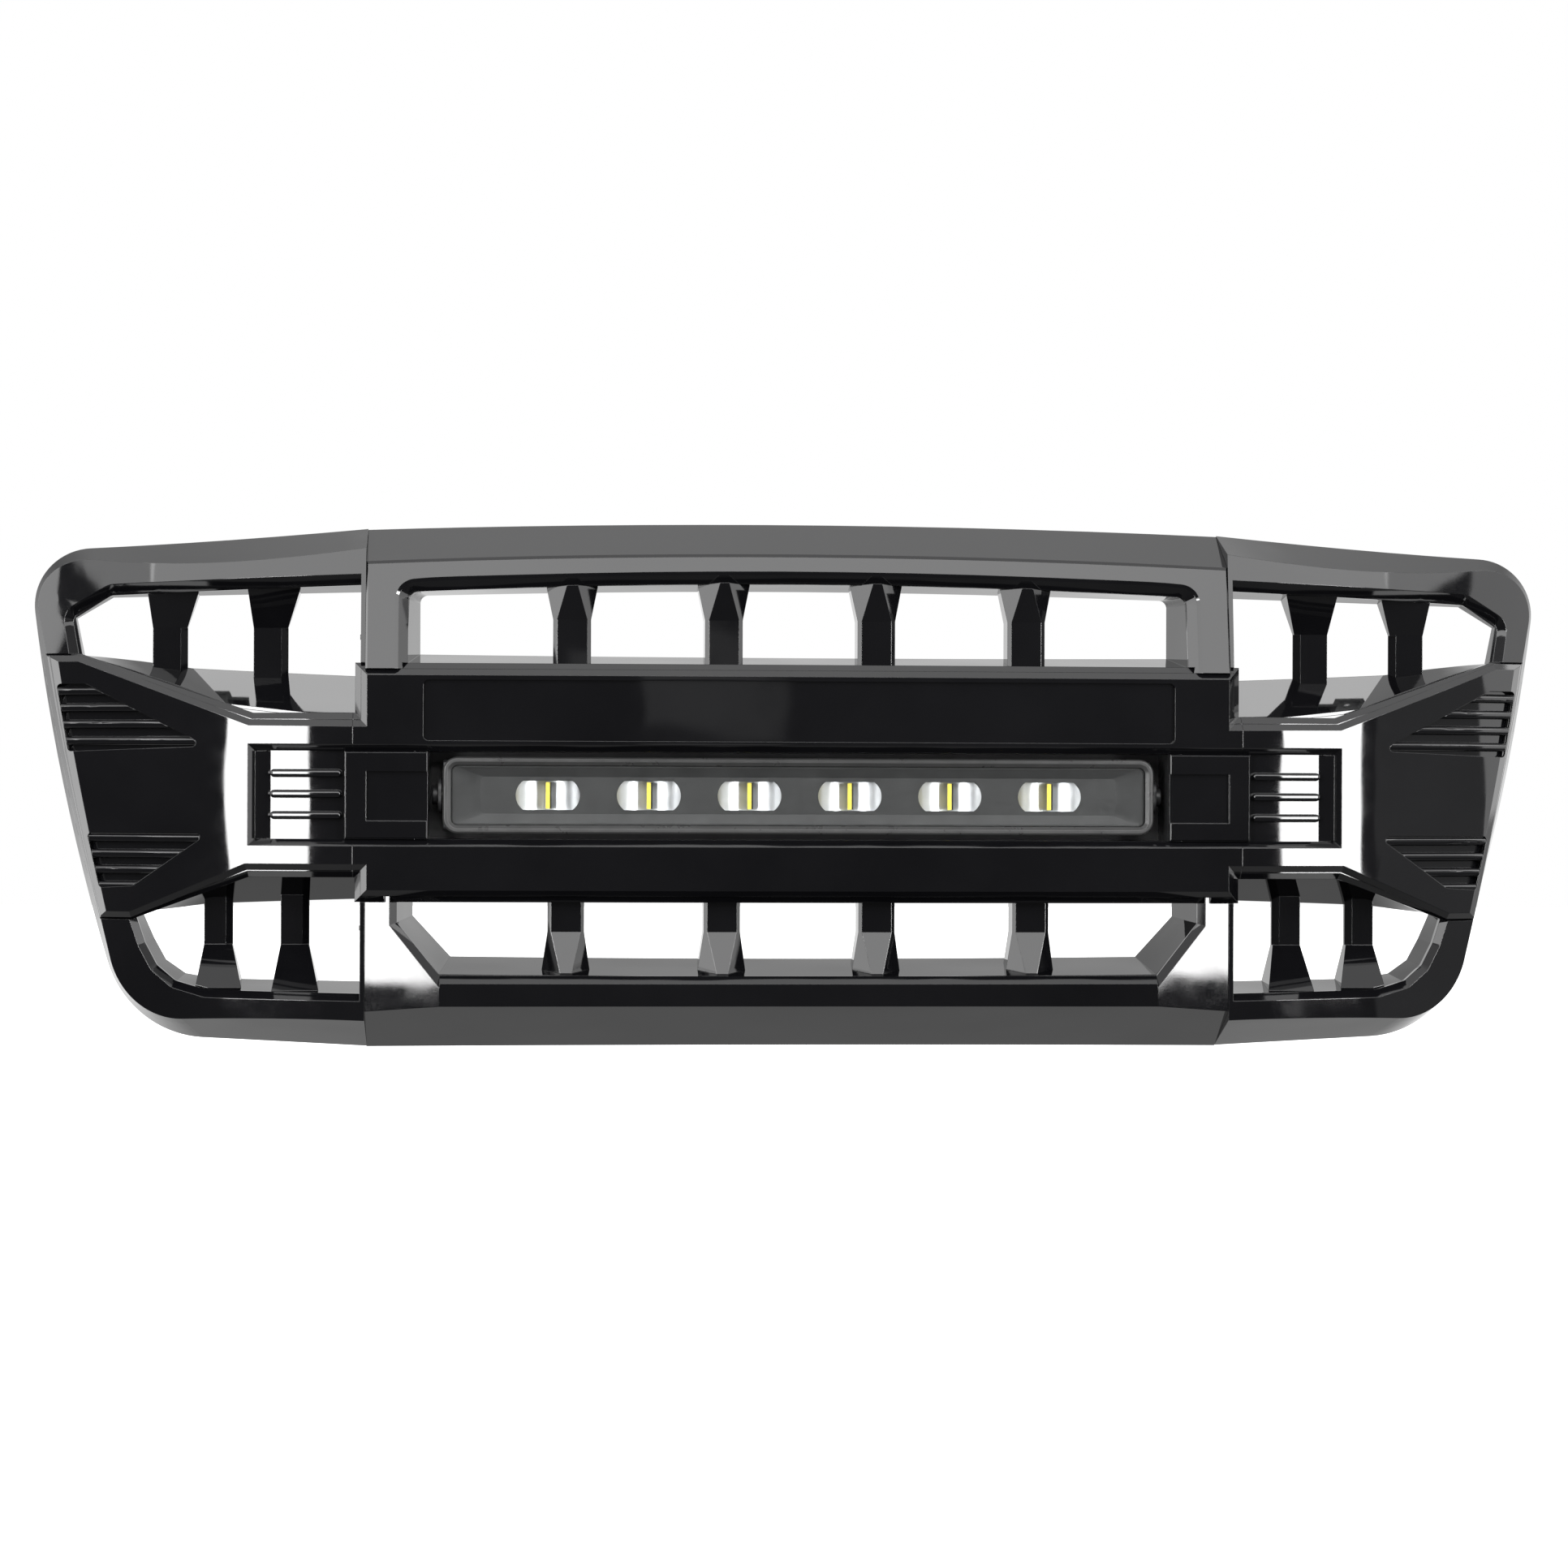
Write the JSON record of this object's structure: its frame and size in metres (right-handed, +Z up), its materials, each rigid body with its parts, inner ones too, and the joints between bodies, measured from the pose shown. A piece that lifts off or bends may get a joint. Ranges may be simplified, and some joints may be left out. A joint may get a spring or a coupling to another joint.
{
  "type": "front grille",
  "caption": "Moulded vehicle front grille with a bow-tie crossbar, ribbed air windows and a tilting LED light bar set in the middle.",
  "frame": {"origin": "centre of the rectangle of fixing holes in the rear mounting brackets, on their rear faces", "axes": "+X to the right as seen from in front, +Z up, the grille's face looks along -Y"},
  "size_m": [1.141, 0.097, 0.3926],
  "materials": {
    "gloss_black": "deep gloss black moulded ABS",
    "black_moulding": "fine-grained black moulding",
    "black_aluminium": "black anodised extrusion",
    "satin_black": "satin black",
    "satin_grey": "satin dark grey",
    "foam_rubber": "closed-cell foam",
    "clear_lens": "clear polycarbonate",
    "circuit_board": "white solder mask",
    "dark_metal": "black heat-spreading blade",
    "phosphor": "yellow phosphor coating",
    "black_nylon": "black nylon",
    "white_nylon": "natural nylon",
    "black_steel": "black powder coat",
    "zinc_steel": "zinc plated sheet steel",
    "chrome_reflector": "vacuum-metallised bowl",
    "zinc_screw": "zinc plated"
  },
  "bodies": {
    "grille": {"aim_bracket_screws": "zinc_screw", "aim_brackets": "black_steel", "badge_plate": "gloss_black", "bay_screws": "zinc_screw", "left_bay_cover": "gloss_black", "left_crossbar_arm": "gloss_black", "left_end_panel": "gloss_black", "left_lower_gill_insert": "gloss_black", "left_lower_wing_rib_1": "gloss_black", "left_lower_wing_rib_2": "gloss_black", "left_upper_gill_insert": "gloss_black", "left_upper_wing_rib_1": "gloss_black", "left_upper_wing_rib_2": "gloss_black", "left_wing_frame": "gloss_black", "light_bay_tray": "black_moulding", "lower_bezel": "gloss_black", "lower_crossbar_beam": "gloss_black", "lower_rib_1": "gloss_black", "lower_rib_2": "gloss_black", "lower_rib_3": "gloss_black", "lower_rib_4": "gloss_black", "mounting_brackets": "zinc_steel", "mounting_screws": "zinc_screw", "retaining_clips": "white_nylon", "right_bay_cover": "gloss_black", "right_crossbar_arm": "gloss_black", "right_end_panel": "gloss_black", "right_lower_gill_insert": "gloss_black", "right_lower_wing_rib_1": "gloss_black", "right_lower_wing_rib_2": "gloss_black", "right_upper_gill_insert": "gloss_black", "right_upper_wing_rib_1": "gloss_black", "right_upper_wing_rib_2": "gloss_black", "right_wing_frame": "gloss_black", "seam_screws": "black_steel", "upper_bezel": "gloss_black", "upper_crossbar_beam": "gloss_black", "upper_rib_1": "gloss_black", "upper_rib_2": "gloss_black", "upper_rib_3": "gloss_black", "upper_rib_4": "gloss_black"},
    "light_bar": {"bar_bezel": "satin_black", "bar_face_plate": "satin_grey", "bar_gasket": "foam_rubber", "bar_housing": "black_aluminium", "bar_lens": "clear_lens", "cable_gland": "black_nylon", "end_cap_screws": "zinc_screw", "led_blades": "dark_metal", "led_board": "circuit_board", "led_emitters": "phosphor", "left_end_cap": "black_aluminium", "pivot_bolts": "black_steel", "reflector_1": "chrome_reflector", "reflector_2": "chrome_reflector", "reflector_3": "chrome_reflector", "reflector_4": "chrome_reflector", "reflector_5": "chrome_reflector", "reflector_6": "chrome_reflector", "right_end_cap": "black_aluminium"}
  },
  "joints": [
    {"name": "light_bar_aim", "type": "hinge", "parent": "grille", "child": "light_bar", "pos_m": [0, -0.061, -0.00915], "axis": [1, 0, 0], "range_deg": [-5, 5]}
  ]
}
